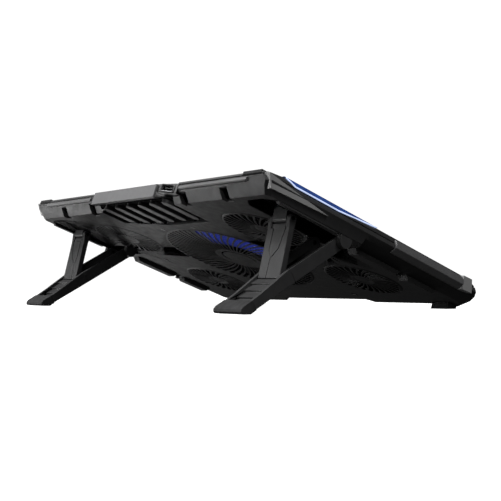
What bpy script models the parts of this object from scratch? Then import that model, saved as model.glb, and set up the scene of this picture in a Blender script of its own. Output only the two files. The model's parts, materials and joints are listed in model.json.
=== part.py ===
"""Laptop cooling pad standing on its two fold-out legs.

World frame: metres, +Z up, +Y towards the raised rear edge, X across the pad.
The pad's own frame lies on its flat underside: x across, y rearwards, z out of the top.
Its origin is the middle of the underside's rear edge, so every place on the pad has y below 0.
"""

import math

import bmesh
import bpy
from mathutils import Matrix, Vector

for leftover in list(bpy.data.objects):
    bpy.data.objects.remove(leftover, do_unlink=True)

# The pad as a whole
TILT = math.radians(20.5)
REAR_EDGE = Vector((0.0, 0.10667, 0.0882))
GAP = 0.0003
FLOOR = 0.0024
SHELL_TOP = 0.0127
FRAME_BOTTOM = 0.0130
FRAME_TOP = 0.0183
REAR_SLOTS = (0.0785, 0.1365)
SLOT_HALF = 0.0050
SLIT_PITCH = 0.007
DECK_BACK = -0.024
DECK_FRONT = -0.200
WINDOW_HALF = 0.162
SIDE_X = 0.193

# Fans
MAIN_FAN = (0.0, -0.120)
SMALL_FANS = {
    "rear_left": (0.1105, -0.060),
    "rear_right": (-0.1105, -0.060),
    "front_left": (0.112, -0.178),
    "front_right": (-0.112, -0.178),
}
MAIN_RADIUS = 0.0730
SMALL_RADIUS = 0.0360
FAN_TOP = 0.0125
BLADE_THICK = 0.0009

# Legs and struts
SIDES = {"left": 1, "right": -1}
LEG_X = 0.1665
LEG_HALF = 0.0173
ARM = 0.0032
LEG_HINGE = Vector((LEG_X, -0.084, -0.0035))
LEG_ANGLE = math.radians(48.5)
LEG_LENGTH = 0.0980
STRUT_HINGE = Vector((LEG_X, -0.036, -0.0035))
STRUT_ANGLE = math.radians(96.3)
STRUT_LENGTH = 0.0486
STRUT_HALF = 0.0135
STRUT_THICK = 0.0050
LUG_HALF = 0.0085
RAIL_DROP = 0.0040
SEAT_LEAN = math.radians(63.4)
PIN_RADIUS = 0.0018
PIN_PLAY = 0.0002
POCKET_Y = (-0.100, -0.006)

# Rear module and vent under it
HUB_HALF = 0.0735
HUB_FACE = 0.0540
HUB_FRONT = 0.0008
HUB_REAR = 0.0153
HUB_BEND = 0.0085
HUB_BOTTOM = 0.0058
VENT_HALF = 0.0620
VENT_FRONT = -0.038
SLATS = 6
SLAT_PITCH = 0.0200


# ---------------------------------------------------------------- materials
def material(name, colour, roughness, metallic=0.0, alpha=1.0):
    made = bpy.data.materials.new(name)
    made.use_nodes = True
    shader = made.node_tree.nodes["Principled BSDF"]
    shader.inputs["Base Color"].default_value = (*colour, 1.0)
    shader.inputs["Roughness"].default_value = roughness
    shader.inputs["Metallic"].default_value = metallic
    shader.inputs["Alpha"].default_value = alpha
    return made


CASE = material("case_plastic", (0.045, 0.045, 0.047), 0.45)
MODULE = material("module_plastic", (0.11, 0.11, 0.115), 0.35)
BLACK = material("black_plastic", (0.012, 0.012, 0.013), 0.30)
FAN = material("fan_plastic", (0.03, 0.03, 0.032), 0.40)
MESH = material("perforated_metal", (0.05, 0.05, 0.052), 0.40, 0.9)
RUBBER = material("rubber", (0.02, 0.02, 0.02), 0.85)
STEEL = material("steel", (0.45, 0.45, 0.46), 0.30, 1.0)
LIGHT = material("blue_lens", (0.02, 0.12, 0.75), 0.15)
BOARD = material("circuit_board", (0.01, 0.12, 0.05), 0.50)


# ---------------------------------------------------------------- shape helpers
def loft(rings):
    """Closed solid through rings of equal length, capped at both ends."""
    solid = bmesh.new()
    loops = [[solid.verts.new(point) for point in ring] for ring in rings]
    for low, high in zip(loops, loops[1:]):
        for i, corner in enumerate(low):
            j = (i + 1) % len(low)
            solid.faces.new((corner, low[j], high[j], high[i]))
    solid.faces.new(list(reversed(loops[0])))
    solid.faces.new(loops[-1])
    bmesh.ops.recalc_face_normals(solid, faces=solid.faces)
    return solid


def prism_z(outline, low, high):
    return loft([[(x, y, z) for x, y in outline] for z in (low, high)])


def prism_x(outline, low, high):
    """Outline in (y, z), pulled along x."""
    return loft([[(x, y, z) for y, z in outline] for x in (low, high)])


def prism_y(outline, low, high):
    """Outline in (x, z), pulled along y."""
    return loft([[(x, y, z) for x, z in outline] for y in (low, high)])


def box(x, y, z):
    return prism_z([(x[0], y[0]), (x[1], y[0]), (x[1], y[1]), (x[0], y[1])], *z)


def circle(centre, radius, count, start=0.0, stop=math.tau):
    """Points of an arc; a full circle leaves out its repeated last point."""
    full = math.isclose(stop - start, math.tau)
    steps = count if full else count - 1
    turns = [start + (stop - start) * i / steps for i in range(count)]
    return [(centre[0] + radius * math.cos(t), centre[1] + radius * math.sin(t)) for t in turns]


def disc(centre, radius, low, high, count=24):
    return prism_z(circle(centre, radius, count), low, high)


def rod_x(centre, radius, low, high, count=20):
    """Round rod along x; centre is (y, z)."""
    return prism_x(circle(centre, radius, count), low, high)


def mirrored(solid):
    bmesh.ops.scale(solid, vec=(-1, 1, 1), verts=solid.verts)
    bmesh.ops.reverse_faces(solid, faces=solid.faces)
    return solid


def on_side(solid, side):
    """The solid as drawn for the left side, or its mirror image for the right."""
    return solid if side > 0 else mirrored(solid)


def moved(solid, matrix):
    bmesh.ops.transform(solid, matrix=matrix, verts=solid.verts)
    return solid


def joined(solids):
    """Several solids that don't touch, in one mesh."""
    whole = bmesh.new()
    for solid in solids:
        piece = bpy.data.meshes.new("piece")
        solid.to_mesh(piece)
        whole.from_mesh(piece)
        solid.free()
        bpy.data.meshes.remove(piece)
    return whole


# ---------------------------------------------------------------- object helpers
def empty(name, parent=None, location=(0, 0, 0), turn=0.0):
    made = bpy.data.objects.new(name, None)
    bpy.context.scene.collection.objects.link(made)
    made.parent = parent
    made.location = location
    made.rotation_euler = (turn, 0, 0)
    return made


def add_object(name, solid, parent):
    mesh = bpy.data.meshes.new(name)
    solid.to_mesh(mesh)
    solid.free()
    made = bpy.data.objects.new(name, mesh)
    bpy.context.scene.collection.objects.link(made)
    made.parent = parent
    return made


def part(name, solid, finish, parent):
    made = add_object(name, solid, parent)
    made.data.materials.append(finish)
    return made


def boolean(target, solids, operation):
    """One Boolean per solid, each with its own hidden helper object."""
    for solid in solids:
        helper = add_object(f"{target.name}_helper", solid, target.parent)
        helper.matrix_parent_inverse = target.matrix_parent_inverse
        helper.location = target.location
        helper.hide_render = True
        helper.display_type = "WIRE"
        step = target.modifiers.new(operation.title(), "BOOLEAN")
        step.operation = operation
        step.object = helper


def cut(target, *solids):
    boolean(target, solids, "DIFFERENCE")


def fuse(target, *solids):
    boolean(target, solids, "UNION")


def smooth(target, angle=35):
    target.data.shade_smooth()
    target.data.set_sharp_from_angle(angle=math.radians(angle))


# ---------------------------------------------------------------- casing
def case_ring(z, half, rear, flank=None, corner=-0.2455, middle=-0.2455, centre=-0.2455):
    """Outline of the casing at height z; flank is the half width in front of the legs."""
    flank = half if flank is None else flank
    right = [
        (half - 0.004, rear),
        (half, rear - 0.004),
        (half, -0.100),
        (flank, -0.108),
        (flank, corner + 0.0125),
        (flank - 0.012, corner),
        (0.146, corner),
        (0.142, middle),
        (0.068, middle),
        (0.062, centre),
    ]
    points = right + [(-x, y) for x, y in reversed(right)]
    return [(x, y, z) for x, y in points]


def leg_pocket(x_in, x_out, low, high):
    """Long octagonal block for a leg's recess, drawn on the left side."""
    front, rear = POCKET_Y
    clip = 0.008
    outline = [
        (x_in, front),
        (x_out, front),
        (x_out, rear - clip),
        (x_out - clip, rear),
        (x_in + clip, rear),
        (x_in, rear - clip),
    ]
    return prism_z(outline, low, high)


def hinge_boss(x_low, x_high, centre, radius):
    """Rounded lug hanging from the casing around a pin."""
    y, z = centre
    outline = circle((y, z), radius, 12, math.pi, math.tau)
    outline += [(y + radius, 0.0006), (y - radius, 0.0006)]
    return prism_x(outline, x_low, x_high)


def strut_lug(x_low, x_high):
    """Lug that hangs from a pocket's ceiling, between the cheeks of a strut."""
    y, z = STRUT_HINGE.y, STRUT_HINGE.z
    radius = 0.0036
    outline = circle((y, z), radius, 12, math.pi, math.tau)
    outline += [(y + 0.0055, 0.0095), (y - 0.0055, 0.0095)]
    return prism_x(outline, x_low, x_high)


def rib(x_low, x_high, y_low, y_high, drop):
    """Low runner under the casing with sloped ends."""
    outline = [(y_low, 0.0003), (y_low + drop, -drop), (y_high - drop, -drop), (y_high, 0.0003)]
    return prism_x(outline, x_low, x_high)


def bottom_shell(pad):
    """Lower casing: floor, walls, leg pockets, hinge lugs, ribs and pegs."""
    shell = part(
        "bottom_shell",
        loft(
            [
                case_ring(0.0, 0.1900, 0.0, 0.1770, -0.2470, -0.2400, -0.2320),
                case_ring(0.0050, 0.1925, 0.0042, 0.1905, -0.2465, -0.2420, -0.2390),
                case_ring(0.0088, 0.1955, 0.0073, 0.1955),
                case_ring(SHELL_TOP, 0.1935, 0.0094, 0.1935, -0.2450, -0.2450, -0.2450),
            ]
        ),
        CASE,
        pad,
    )
    cavity = loft(
        [
            case_ring(FLOOR, 0.1860, -0.0030, 0.1740, -0.2340, -0.2340, -0.2290),
            case_ring(0.0075, 0.1880, 0.0028, 0.1880, -0.2340, -0.2340, -0.2290),
            case_ring(0.0140, 0.1880, 0.0060, 0.1880, -0.2340, -0.2340, -0.2290),
        ]
    )
    cut(shell, cavity)
    for side in SIDES.values():
        fuse(shell, on_side(leg_pocket(0.1480, 0.1885, 0.0012, 0.0112), side))
        cut(shell, on_side(leg_pocket(0.1489, 0.1844, -0.0100, 0.0090), side))
        hinge = (LEG_HINGE.y, LEG_HINGE.z)
        strut_axis = (STRUT_HINGE.y, STRUT_HINGE.z)
        fuse(
            shell,
            on_side(
                joined(
                    [
                        hinge_boss(0.1430, 0.1486, hinge, 0.0060),
                        hinge_boss(0.1847, 0.1896, hinge, 0.0060),
                        strut_lug(LEG_X - LUG_HALF, LEG_X + LUG_HALF),
                        rib(0.1850, 0.1894, -0.074, -0.012, 0.0015),
                        rib(0.1660, 0.1765, -0.160, -0.106, RAIL_DROP),
                        rib(0.1660, 0.1765, -0.206, -0.167, RAIL_DROP),
                        disc((0.1712, -0.1635), 0.0021, -0.0034, 0.0005, 12),
                    ]
                ),
                side,
            ),
        )
        cut(
            shell,
            on_side(
                joined(
                    [
                        rod_x(hinge, PIN_RADIUS + PIN_PLAY, 0.1436, 0.1500),
                        rod_x(hinge, PIN_RADIUS + PIN_PLAY, 0.1840, 0.1889),
                        rod_x(strut_axis, PIN_RADIUS + PIN_PLAY, LEG_X - 0.014, LEG_X + 0.014),
                    ]
                ),
                side,
            ),
        )
    holes = [disc(MAIN_FAN, MAIN_RADIUS + GAP, -0.01, 0.0060, 64)]
    holes += [disc(centre, SMALL_RADIUS + GAP, -0.01, 0.0060, 40) for centre in SMALL_FANS.values()]
    holes += [disc(centre, 0.0031, -0.01, 0.0060, 16) for centre in screw_places()]
    cut(shell, joined(holes))
    slots = []
    for x in REAR_SLOTS:
        for side in SIDES.values():
            span = (side * x - SLOT_HALF, side * x + SLOT_HALF)
            slots.append(box(span, (-0.005, 0.02), (-0.01, 0.0074)))
    cut(shell, joined(slots))
    cut(shell, box((-VENT_HALF, VENT_HALF), (VENT_FRONT, 0.02), (-0.01, 0.0080)))
    cut(shell, box((-HUB_HALF - GAP, HUB_HALF + GAP), (-0.0040, 0.03), (HUB_BOTTOM - GAP, 0.02)))
    for side in SIDES.values():
        cut(shell, on_side(side_panel_solid(GAP), side))
    return shell


def top_frame(pad):
    """Upper casing: rim, rear deck and front deck round the perforated panel."""
    frame = part(
        "top_frame",
        loft(
            [
                case_ring(FRAME_BOTTOM, 0.1918, 0.0084, None, -0.2437, -0.2437, -0.2437),
                case_ring(0.0137, SIDE_X, 0.0096, None, -0.2440, -0.2440, -0.2440),
                case_ring(0.0156, 0.1922, 0.0090, None, -0.2400, -0.2400, -0.2400),
                case_ring(FRAME_TOP, 0.1895, -0.0080, None, -0.2320, -0.2320, -0.2320),
            ]
        ),
        CASE,
        pad,
    )
    inner = WINDOW_HALF - 0.004
    cut(frame, box((-inner, inner), (DECK_FRONT + 0.004, DECK_BACK - 0.004), (0.0, 0.03)))
    cut(frame, box((-WINDOW_HALF, WINDOW_HALF), (DECK_FRONT, DECK_BACK), (0.0160, 0.03)))
    cut(frame, box((-HUB_HALF - GAP, HUB_HALF + GAP), (HUB_FRONT - GAP, 0.03), (0.0, 0.03)))
    for side in SIDES.values():
        cut(frame, on_side(side_panel_solid(GAP), side), on_side(light_bar_solid(GAP), side))
        cut(frame, on_side(rest_pad_solid(GAP), side), on_side(stop_recess(), side))
    buttons = [disc((x, -0.016), 0.0048, 0.0, 0.03, 20) for x in (-0.014, 0.014)]
    cut(frame, joined(buttons))
    return frame


def top_panel(pad):
    outline = [
        (-WINDOW_HALF + GAP, DECK_FRONT + GAP),
        (WINDOW_HALF - GAP, DECK_FRONT + GAP),
        (WINDOW_HALF - GAP, DECK_BACK - GAP),
        (-WINDOW_HALF + GAP, DECK_BACK - GAP),
    ]
    panel = part("top_panel", prism_z(outline, 0.0163, 0.0178), MESH, pad)
    vents = [MAIN_FAN, *SMALL_FANS.values()]
    radii = [MAIN_RADIUS - 0.012] + [SMALL_RADIUS - 0.008] * len(SMALL_FANS)
    slits = []
    for (x, y), radius in zip(vents, radii):
        rows = int(radius / SLIT_PITCH)
        for row in range(-rows, rows + 1):
            middle = y + row * SLIT_PITCH
            reach = math.sqrt(radius**2 - (row * SLIT_PITCH) ** 2) * 0.94
            slits.append(box((x - reach, x + reach), (middle - 0.0015, middle + 0.0015), (0.01, 0.02)))
    cut(panel, joined(slits))
    return panel


def side_panel_solid(grow=0.0):
    """Raised trim on the side wall, from behind the front corner forwards."""
    low, high = 0.0049 - grow, 0.0158 + grow
    outer = [(0.1914, low), (0.1968, 0.0090), (0.1962, 0.0126), (0.1938, high)]
    if grow:
        outer = [(0.2050, low), (0.2050, high)]
    inner = [(0.1909 - grow, high), (0.1932 - grow, 0.0120), (0.1934 - grow, 0.0095), (0.1897 - grow, low)]
    return prism_y(outer + inner, -0.2145 - grow, -0.1300 + grow)


def light_bar_solid(grow=0.0):
    """Translucent bar in the upper side of the rim, drawn on the left."""
    low, high = 0.0139 - grow, 0.0190
    outline = [
        (-0.0095 + grow, high),
        (-0.0200 + grow, low),
        (-0.0660 - grow, low),
        (-0.1120 - grow, high),
    ]
    rings = []
    for x_low, x_high in ((0.1855 - grow, 0.1855 - grow), (0.1934 + 10 * grow, 0.1900 + 10 * grow)):
        rings.append([(x_low if z == low else x_high, y, z) for y, z in outline])
    return loft(rings)


def rest_pad_solid(grow=0.0):
    """Rubber strip let into the rear rim near a corner."""
    low, high = 0.0139 - grow, 0.0166 + 4 * grow
    return box((0.1640 - grow, 0.1876 + grow), (0.0050 - grow, 0.0098 + 10 * grow), (low, high))


def trims(pad):
    for name, side in SIDES.items():
        part(f"side_panel_{name}", on_side(side_panel_solid(), side), MODULE, pad)
        part(f"side_light_{name}", on_side(light_bar_solid(), side), LIGHT, pad)
        part(f"rear_rim_rubber_{name}", on_side(rest_pad_solid(), side), RUBBER, pad)


def ground_height(y):
    """Pad-frame z of the table plane at pad-frame y."""
    return -(REAR_EDGE.z + y * math.sin(TILT)) / math.cos(TILT)


def front_feet(pad):
    back, front = -0.2340, -0.2455
    outline = [(back, -GAP), (back, ground_height(back)), (front, ground_height(front)), (front, -GAP)]
    for name, side in SIDES.items():
        part(f"front_foot_{name}", on_side(prism_x(outline, 0.1465, 0.1655), side), RUBBER, pad)


# ---------------------------------------------------------------- fans
def fan_grille(name, centre, radius, hub, count, pad):
    """Flat disc with narrow, slightly swirled radial slots."""
    grille = part(name, disc(centre, radius, -0.0005, 0.0020, 64 if radius > 0.05 else 40), CASE, pad)
    inner, outer = hub + 0.0035, radius - 0.0030
    slots = []
    for i in range(count):
        turn = math.tau * i / count
        half = 0.30 * math.tau * inner / count
        wide = 0.24 * math.tau * outer / count
        swirl = 0.10
        spots = []
        for r, w, bend in ((inner, half, 0.0), (outer, wide, swirl)):
            angle = turn + bend
            along = Vector((math.cos(angle), math.sin(angle)))
            across = Vector((-along.y, along.x))
            spots.append((Vector(centre) + along * r - across * w, Vector(centre) + along * r + across * w))
        (a, b), (c, d) = spots
        slots.append(prism_z([tuple(a), tuple(c), tuple(d), tuple(b)], -0.01, 0.01))
    cut(grille, joined(slots))
    return grille


def fan_frame(name, centre, radius, motor, count, pad):
    """Ring, motor plate and the arms that carry it."""
    low = FLOOR + GAP
    frame = part(name, disc(centre, radius + 0.0012, low, FAN_TOP, 56 if radius > 0.05 else 36), FAN, pad)
    cut(frame, disc(centre, radius - 0.0015, -0.01, 0.03, 56 if radius > 0.05 else 36))
    for i in range(count):
        turn = Matrix.Translation((*centre, 0)) @ Matrix.Rotation(math.tau * (i + 0.5) / count, 4, "Z")
        fuse(frame, moved(box((motor - 0.002, radius - 0.0005), (-0.0016, 0.0016), (low, 0.0046)), turn))
    fuse(frame, disc(centre, motor, low, 0.0046, 28))
    return frame


def fan_rotor(name, centre, radius, hub, blades, pad):
    """Hub cup with pitched, swept blades; it turns about its own z."""
    rotor = part(name, disc((0, 0), hub, 0.0052, 0.0118, 32), FAN, pad)
    rotor.location = (*centre, 0)
    wings = []
    for i in range(blades):
        rings = []
        for step in range(5):
            share = step / 4
            r = hub - 0.001 + (radius - 0.0035 - hub + 0.001) * share
            lead = math.tau * i / blades + 0.55 * share
            width = 0.62 * math.tau / blades
            low, high = 0.0060, 0.0108
            ring = []
            for turn, z in ((lead, high), (lead + width, low)):
                ring.append((r * math.cos(turn), r * math.sin(turn), z))
            for turn, z in ((lead + width, low), (lead, high)):
                ring.append((r * math.cos(turn), r * math.sin(turn), z + BLADE_THICK))
            rings.append(ring)
        wings.append(loft(rings))
    fuse(rotor, joined(wings))
    return rotor


def fans(pad):
    fan_grille("main_fan_grille", MAIN_FAN, MAIN_RADIUS, 0.0210, 56, pad)
    fan_frame("main_fan_frame", MAIN_FAN, MAIN_RADIUS, 0.0215, 4, pad)
    fan_rotor("main_fan_rotor", MAIN_FAN, MAIN_RADIUS - 0.0015, 0.0190, 9, pad)
    for place, centre in SMALL_FANS.items():
        fan_grille(f"{place}_fan_grille", centre, SMALL_RADIUS, 0.0085, 26, pad)
        fan_frame(f"{place}_fan_frame", centre, SMALL_RADIUS, 0.0115, 3, pad)
        fan_rotor(f"{place}_fan_rotor", centre, SMALL_RADIUS - 0.0015, 0.0100, 7, pad)


# ---------------------------------------------------------------- rear module
def hub_slope(y):
    """Height of the module's sloping top."""
    return 0.0170 - (y - HUB_FRONT) * 0.28


def hub_block(outline, low=HUB_BOTTOM):
    """Block with the module's sloping top over a plan outline."""
    return loft([[(x, y, low) for x, y in outline], [(x, y, hub_slope(y)) for x, y in outline]])


def rear_module(pad):
    half = HUB_FACE - GAP
    housing = part(
        "module_housing",
        hub_block([(-half, HUB_FRONT), (half, HUB_FRONT), (half, HUB_REAR), (-half, HUB_REAR)]),
        MODULE,
        pad,
    )
    cut(housing, box((-0.050, 0.050), (-0.01, 0.0132), (0.0076, 0.0118)))
    part("control_board", box((-0.046, 0.046), (-0.0030, 0.0110), (0.0086, 0.0102)), BOARD, pad)
    inside, outside = HUB_REAR + GAP, HUB_REAR + 0.0024
    face = [(inside, 0.0125), (inside, 0.0), (outside, 0.0006), (outside, 0.0119)]
    part("module_face_plate", prism_x(face, -HUB_FACE, HUB_FACE), MODULE, pad)
    for name, side in SIDES.items():
        end_cap_and_socket(name, side, pad)


def end_cap_and_socket(name, side, pad):
    """Slanted black end of the module with a socket looking out of it."""
    outline = [(HUB_FACE, HUB_FRONT), (HUB_HALF, HUB_FRONT), (HUB_HALF, HUB_BEND), (HUB_FACE, HUB_REAR)]
    cap = part(f"module_end_cap_{name}", on_side(hub_block(outline), side), BLACK, pad)
    middle = Vector(((HUB_FACE + HUB_HALF) / 2, (HUB_REAR + HUB_BEND) / 2, 0.0098))
    slant = math.atan2(HUB_REAR - HUB_BEND, HUB_HALF - HUB_FACE)
    place = Matrix.Translation(middle) @ Matrix.Rotation(-slant, 4, "Z")
    width, height, depth = 0.0128, 0.0050, 0.0075

    def block(x, y, z):
        return on_side(moved(box(x, y, z), place), side)

    w, h = width / 2, height / 2
    cut(cap, block((-w - GAP, w + GAP), (-depth - GAP, 0.02), (-h - GAP, h + GAP)))
    socket = part(f"usb_socket_{name}", block((-w, w), (-depth, -0.0004), (-h, h)), STEEL, pad)
    cut(socket, block((-w + 0.0006, w - 0.0006), (-depth + 0.0010, 0.01), (-h + 0.0006, h - 0.0006)))
    fuse(socket, block((-w + 0.0016, w - 0.0016), (-depth + 0.0005, -0.0016), (-0.0002, 0.0012)))


def vent_insert(pad):
    """Dark tray under the module with its row of slats."""
    half = VENT_HALF - GAP
    tray = part("vent_insert", box((-half, half), (VENT_FRONT + GAP, 0.0050), (0.0038, 0.0052)), BLACK, pad)
    bars = []
    for i in range(SLATS):
        x = (i - (SLATS - 1) / 2) * SLAT_PITCH
        outline = circle((x, -0.0295), 0.0052, 8, math.pi, math.tau)
        outline += circle((x, 0.0005), 0.0052, 4, 0.0, math.pi)
        bars.append(prism_z(outline, 0.0008, 0.0042))
    fuse(tray, joined(bars))
    return tray


def buttons(pad):
    for name, x in (("fan_button", 0.014), ("light_button", -0.014)):
        cap = part(name, disc((0, 0), 0.0045, 0.0140, 0.0197, 20), BLACK, pad)
        cap.location = (x, -0.016, 0)


# ---------------------------------------------------------------- laptop stops
STOP_X = 0.090
STOP_HALF = 0.018
STOP_Y = (-0.2285, -0.2060)
STOP_AXIS_Z = 0.0163
STOP_FLOOR = 0.0143


def stop_recess():
    across = (STOP_X - STOP_HALF - GAP, STOP_X + STOP_HALF + GAP)
    return box(across, (-0.2315, STOP_Y[1] + 0.0025), (STOP_FLOOR, 0.03))


def laptop_stops(pad):
    """Paddles that lie in the front deck and swing up to hold a laptop."""
    y_axis = STOP_Y[0]
    for name, side in SIDES.items():
        barrel = circle((0, 0), 0.0018, 12, math.radians(90), math.radians(270))
        paddle = barrel + [(0.0225, -0.0018), (0.0225, 0.0002), (0.0205, 0.0018)]
        solid = prism_x(paddle, STOP_X - STOP_HALF, STOP_X + STOP_HALF)
        stop = part(f"laptop_stop_{name}", on_side(solid, side), BLACK, pad)
        stop.location = (0, y_axis, STOP_AXIS_Z)
        cut(stop, on_side(rod_x((0, 0), 0.0009, STOP_X - 0.03, STOP_X + 0.03, 12), side))
        pin = rod_x((y_axis, STOP_AXIS_Z), 0.0007, STOP_X - STOP_HALF, STOP_X + STOP_HALF, 12)
        part(f"stop_pin_{name}", on_side(pin, side), STEEL, pad)


# ---------------------------------------------------------------- legs
def leg_profile():
    """Side view of an arm: y from the hinge to the foot, z across it."""
    outline = circle((0.0, -0.0005), 0.0055, 14, math.radians(90), math.radians(270))
    return outline + [(LEG_LENGTH, -0.0068), (LEG_LENGTH, 0.0010), (0.087, 0.0017), (0.058, 0.0050)]


def seat_point(z):
    """Point at height z on the leaning wall that the strut's tip stands against."""
    tip = strut_tip_in_leg()
    return (tip.x + 0.0004 + (z - tip.y) / math.tan(SEAT_LEAN), z)


def strut_tip_in_leg():
    """The middle of the strut's end, as (y, z) of the leg's frame."""
    tip_y = STRUT_HINGE.y + STRUT_LENGTH * math.cos(-STRUT_ANGLE) - LEG_HINGE.y
    tip_z = STRUT_HINGE.z + STRUT_LENGTH * math.sin(-STRUT_ANGLE) - LEG_HINGE.z
    return Vector(
        (
            tip_y * math.cos(LEG_ANGLE) - tip_z * math.sin(LEG_ANGLE),
            tip_y * math.sin(LEG_ANGLE) + tip_z * math.cos(LEG_ANGLE),
        )
    )


def leg_steps():
    """Stepped floor between the arms."""
    low = -0.0062
    outline = [(LEG_LENGTH - 0.0005, low), seat_point(low), seat_point(0.0016)]
    for edge, top, below in ((0.0730, 0.0016, 0.0), (0.0810, 0.0, -0.0016), (0.0890, -0.0016, -0.0032)):
        outline += [(edge, top), (edge, below)]
    outline.append((LEG_LENGTH - 0.0005, -0.0032))
    return outline


def foot_profile():
    """Rubber foot with a level sole and a rounded toe."""
    height = REAR_EDGE.z + LEG_HINGE.y * math.sin(TILT) + LEG_HINGE.z * math.cos(TILT)
    slope = LEG_ANGLE - TILT

    def sole(y):
        return (y, (y * math.sin(slope) - height) / math.cos(slope))

    start = LEG_LENGTH + GAP
    heel, toe = sole(0.1045), sole(0.1092)
    nose = [(0.1116, -0.0030), (0.1118, -0.0014), (0.1104, 0.0002), (0.1080, 0.0010)]
    return [(start, 0.0012), (start, -0.0072), heel, toe, *nose]


def legs(pad):
    for name, side in SIDES.items():
        hinge = empty(f"leg_hinge_{name}", pad, (side * LEG_X, LEG_HINGE.y, LEG_HINGE.z), -LEG_ANGLE)
        outer = joined([prism_x(leg_profile(), low, low + ARM) for low in (-LEG_HALF, LEG_HALF - ARM)])
        leg = part(f"leg_{name}", outer, CASE, hinge)
        fuse(leg, prism_x(leg_steps(), -LEG_HALF + 0.001, LEG_HALF - 0.001))
        cut(leg, rod_x((0, 0), PIN_RADIUS + PIN_PLAY, -0.03, 0.03))
        sole_half = LEG_HALF + 0.0007
        foot = part(f"leg_foot_{name}", prism_x(foot_profile(), -sole_half, sole_half), RUBBER, hinge)
        smooth(foot)
        y, z = LEG_HINGE.y, LEG_HINGE.z
        inner_arm = LEG_X - LEG_HALF
        outer_arm = LEG_X + LEG_HALF
        spans = {"inner": (0.1439, inner_arm + ARM), "outer": (outer_arm - ARM, 0.1886)}
        for place, (low, high) in spans.items():
            pin = on_side(rod_x((y, z), PIN_RADIUS, low, high, 16), side)
            part(f"leg_pin_{place}_{name}", pin, STEEL, pad)


def struts(pad):
    """Props between the pad and the legs' steps."""
    half = STRUT_THICK / 2
    skew = half / math.tan(math.radians(68.8))
    for name, side in SIDES.items():
        place = (side * LEG_X, STRUT_HINGE.y, STRUT_HINGE.z)
        hinge = empty(f"strut_hinge_{name}", pad, place, -STRUT_ANGLE)
        plate = [(0.0078, -half), (STRUT_LENGTH + skew, -half), (STRUT_LENGTH - skew, half), (0.0078, half)]
        strut = part(f"strut_{name}", prism_x(plate, -STRUT_HALF, STRUT_HALF), CASE, hinge)
        eye = circle((0, 0), 0.0034, 14, math.radians(90), math.radians(270))
        eye += [(0.0090, -half), (0.0090, half)]
        cheek = LUG_HALF + GAP
        spans = ((-STRUT_HALF, -cheek), (cheek, STRUT_HALF))
        fuse(strut, joined([prism_x(eye, *span) for span in spans]))
        cut(strut, rod_x((0, 0), PIN_RADIUS + PIN_PLAY, -0.03, 0.03))
        pin = rod_x((STRUT_HINGE.y, STRUT_HINGE.z), PIN_RADIUS, LEG_X - 0.0130, LEG_X + 0.0130, 16)
        part(f"strut_pin_{name}", on_side(pin, side), STEEL, pad)


# ---------------------------------------------------------------- screws
def screw_places():
    right = [(0.025, -0.046), (0.128, -0.118), (0.060, -0.218)]
    return [(side * x, y) for side in (1, -1) for x, y in right]


def screws(pad):
    for i, (x, y) in enumerate(screw_places(), 1):
        screw = part(f"case_screw_{i}", disc((0, 0), 0.0028, -0.0002, 0.0016, 16), STEEL, pad)
        screw.location = (x, y, 0)
        fuse(screw, disc((0, 0), 0.0014, 0.0010, 0.0110, 12))
        cut(screw, joined([box((-0.0015, 0.0015), (-0.0003, 0.0003), (-0.001, 0.0006))]))


def cooling_pad():
    pad = empty("pad", None, REAR_EDGE, TILT)
    bottom_shell(pad)
    top_frame(pad)
    top_panel(pad)
    trims(pad)
    front_feet(pad)
    fans(pad)
    rear_module(pad)
    vent_insert(pad)
    buttons(pad)
    laptop_stops(pad)
    legs(pad)
    struts(pad)
    screws(pad)


cooling_pad()
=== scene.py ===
"""Laptop cooling pad on its two fold-out legs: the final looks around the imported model."""

import json
import math

import bmesh
import bpy
from mathutils import Matrix, Vector

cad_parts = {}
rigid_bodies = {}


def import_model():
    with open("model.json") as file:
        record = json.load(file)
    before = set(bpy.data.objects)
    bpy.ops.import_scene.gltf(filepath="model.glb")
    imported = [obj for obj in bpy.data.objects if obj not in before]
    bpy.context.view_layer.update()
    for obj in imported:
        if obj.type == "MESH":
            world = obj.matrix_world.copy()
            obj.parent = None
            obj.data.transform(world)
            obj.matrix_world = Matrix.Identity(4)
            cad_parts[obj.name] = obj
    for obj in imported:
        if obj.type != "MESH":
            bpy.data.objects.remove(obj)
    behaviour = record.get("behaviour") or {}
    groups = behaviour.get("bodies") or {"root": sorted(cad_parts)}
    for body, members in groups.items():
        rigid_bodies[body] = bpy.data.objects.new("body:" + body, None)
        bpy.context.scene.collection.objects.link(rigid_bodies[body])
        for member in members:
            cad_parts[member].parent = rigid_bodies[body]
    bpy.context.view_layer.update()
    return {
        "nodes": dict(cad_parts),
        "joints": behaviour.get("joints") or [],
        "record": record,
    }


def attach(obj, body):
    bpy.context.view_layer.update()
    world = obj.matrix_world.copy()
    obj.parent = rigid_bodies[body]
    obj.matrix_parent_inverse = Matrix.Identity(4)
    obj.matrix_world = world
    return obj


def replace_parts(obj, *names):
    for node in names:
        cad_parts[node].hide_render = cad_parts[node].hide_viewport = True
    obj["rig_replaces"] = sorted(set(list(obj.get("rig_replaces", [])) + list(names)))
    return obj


for leftover in list(bpy.data.objects):
    bpy.data.objects.remove(leftover, do_unlink=True)

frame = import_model()
RECORD = frame["record"]
SCENE = bpy.context.scene
NODE_SLOT = {row["node"]: row["material_slot"] for row in RECORD["subparts"]}
BODY_OF = {n: b for b, ns in RECORD["behaviour"]["bodies"].items() for n in ns}
JOINTS = {j["name"]: j for j in frame["joints"]}
SIDES = {"left": 1, "right": -1}

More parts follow.
